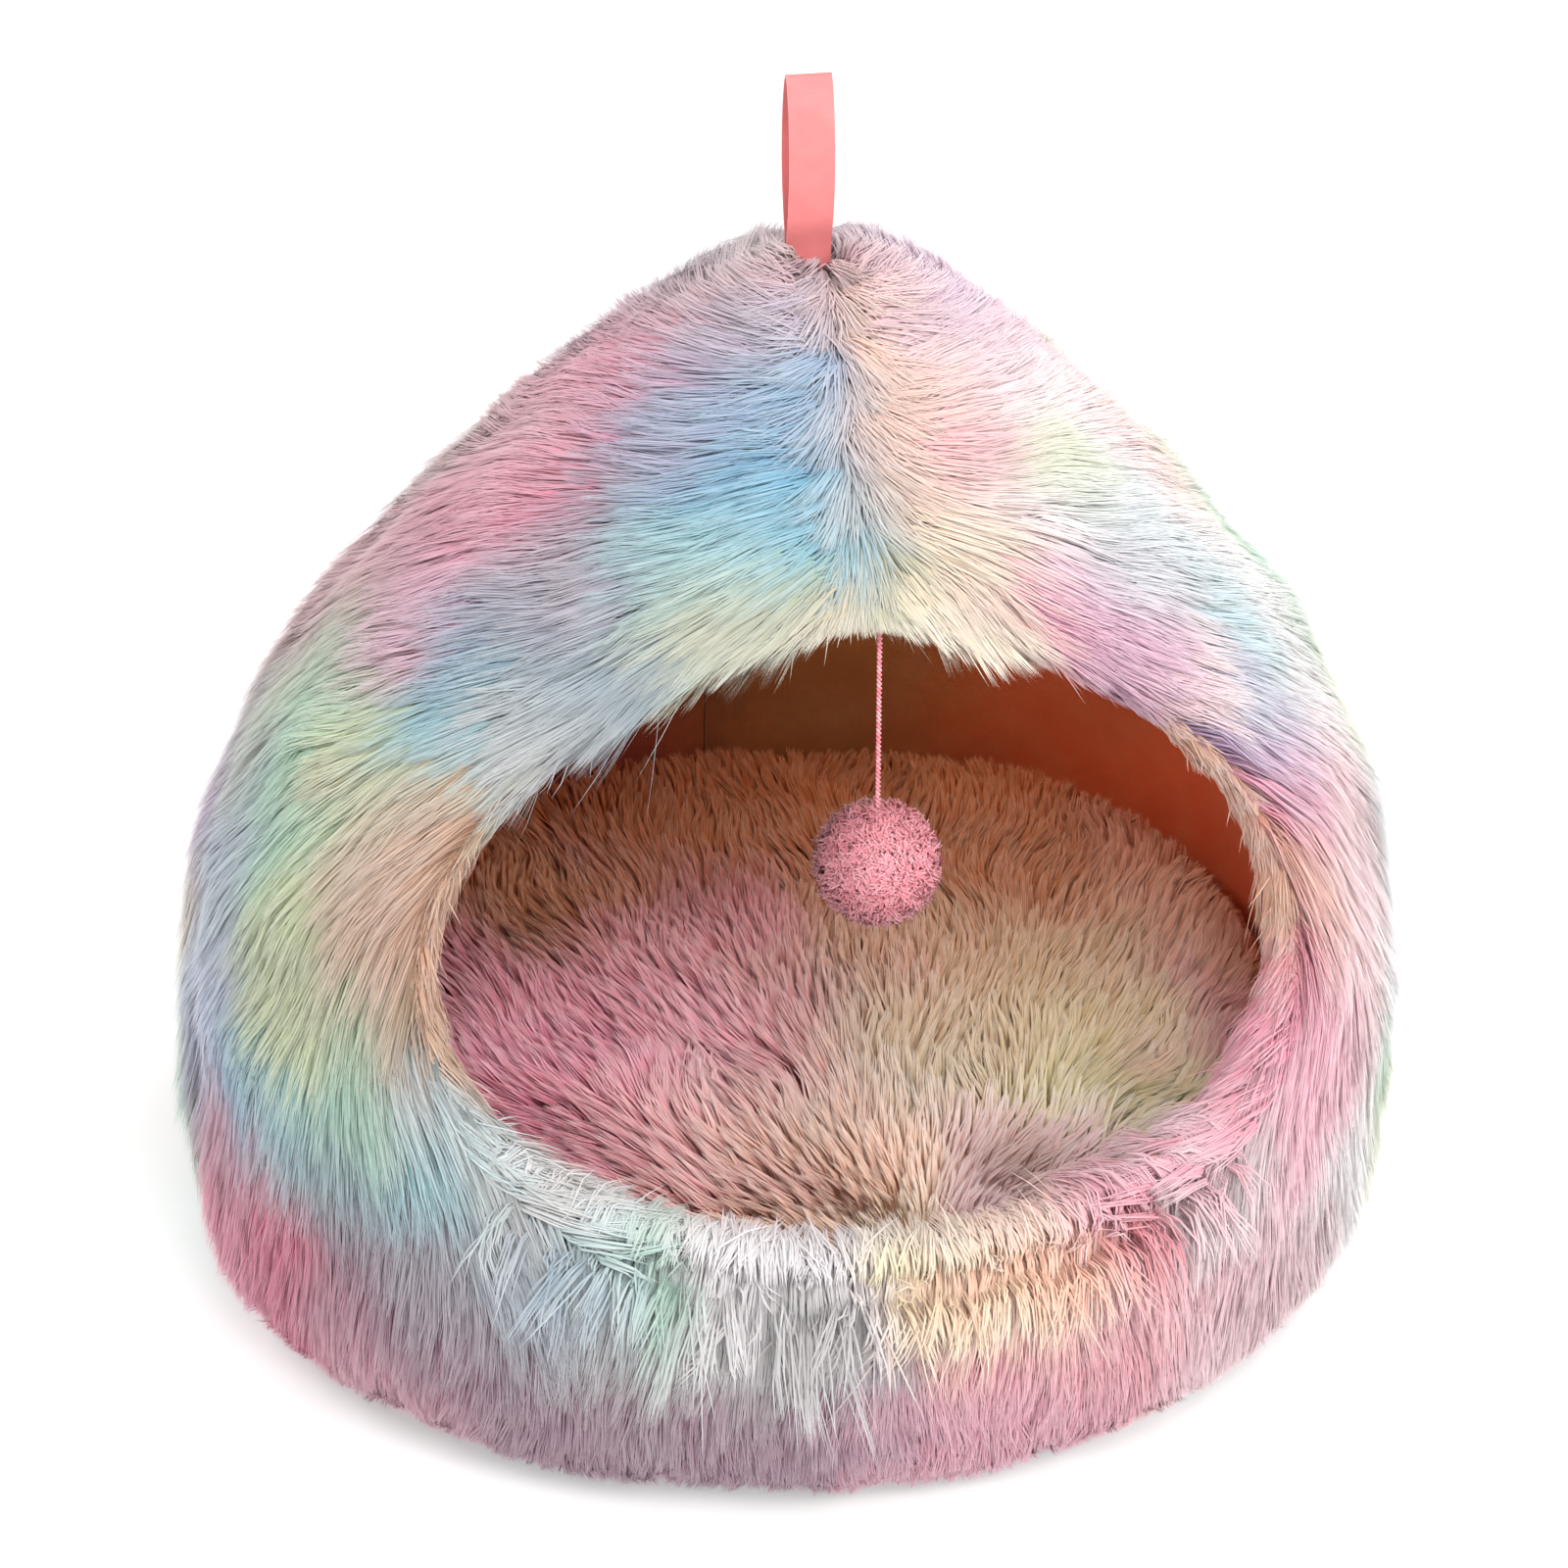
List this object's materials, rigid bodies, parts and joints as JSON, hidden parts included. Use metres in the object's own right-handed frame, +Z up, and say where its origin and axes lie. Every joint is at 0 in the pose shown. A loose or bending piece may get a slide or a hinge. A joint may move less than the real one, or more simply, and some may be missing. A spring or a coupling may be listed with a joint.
{
  "type": "cat cave bed",
  "caption": "Dome-shaped plush pet cave with a wide mouth, a smooth lining, a loose padded cushion, a ribbon loop on top and a pompom on a string in the mouth.",
  "frame": {"origin": "on the floor, under the middle of the base", "axes": "+Z up, -Y out of the mouth, +X to the right of someone looking into the mouth"},
  "size_m": [0.4385, 0.4355, 0.422],
  "materials": {
    "plush": "long soft pile, tie-dyed in pastels",
    "lining": "smooth woven cloth",
    "base_cloth": "plain woven cloth",
    "cushion_plush": "long soft pile, tie-dyed in warm pastels",
    "ribbon": "satin",
    "pompom_yarn": "matte yarn"
  },
  "bodies": {
    "root": {"gore_front_left": "plush", "gore_front_right": "plush", "gore_back_left": "plush", "gore_back_right": "plush", "rim_locks_left": "plush", "rim_locks_right": "plush", "lining_front_left": "lining", "lining_front_right": "lining", "lining_back_left": "lining", "lining_back_right": "lining", "base": "base_cloth", "cushion": "cushion_plush", "ribbon_loop": "ribbon", "pompom_string": "pompom_yarn", "pompom": "pompom_yarn"}
  },
  "joints": []
}
